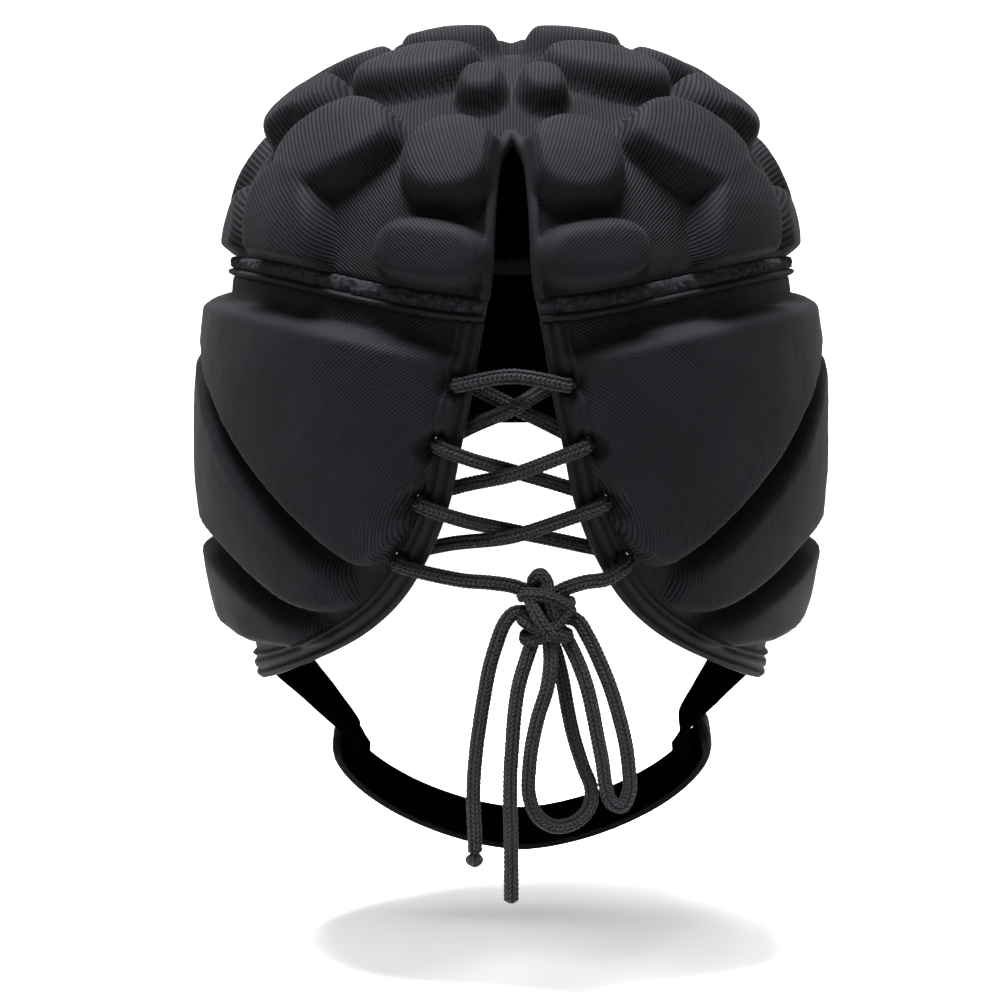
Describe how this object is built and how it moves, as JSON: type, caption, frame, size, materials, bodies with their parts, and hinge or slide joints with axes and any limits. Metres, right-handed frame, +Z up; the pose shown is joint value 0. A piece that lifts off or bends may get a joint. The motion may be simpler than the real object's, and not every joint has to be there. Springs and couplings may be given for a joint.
{
  "type": "rugby scrum cap",
  "caption": "Padded rugby scrum cap of black ribbed fabric, laced with a cord bow at the back, with ear openings and a padded chin strap.",
  "frame": {"origin": "middle of the head hollow, at the height of the seam between crown and panels", "axes": "+Z up out of the crown, +Y the way the wearer faces, +X the wearer's right"},
  "size_m": [0.189, 0.2169, 0.2573],
  "materials": {
    "ribbed_cloth": "matte",
    "loop_pile": "matte",
    "lace_cord": "matte"
  },
  "bodies": {
    "root": {"crown": "ribbed_cloth", "brow_panel": "ribbed_cloth", "side_panel_left": "ribbed_cloth", "side_panel_right": "ribbed_cloth", "seam_band_left": "loop_pile", "seam_band_right": "loop_pile", "chin_tab_left": "ribbed_cloth", "chin_tab_right": "ribbed_cloth", "chin_strap": "ribbed_cloth", "lace_lacing": "lace_cord", "lace_knot": "lace_cord", "lace_tail_left": "lace_cord", "lace_tail_right": "lace_cord", "lace_loop_left": "lace_cord", "lace_loop_right": "lace_cord", "lace_end_left": "lace_cord"}
  },
  "joints": []
}
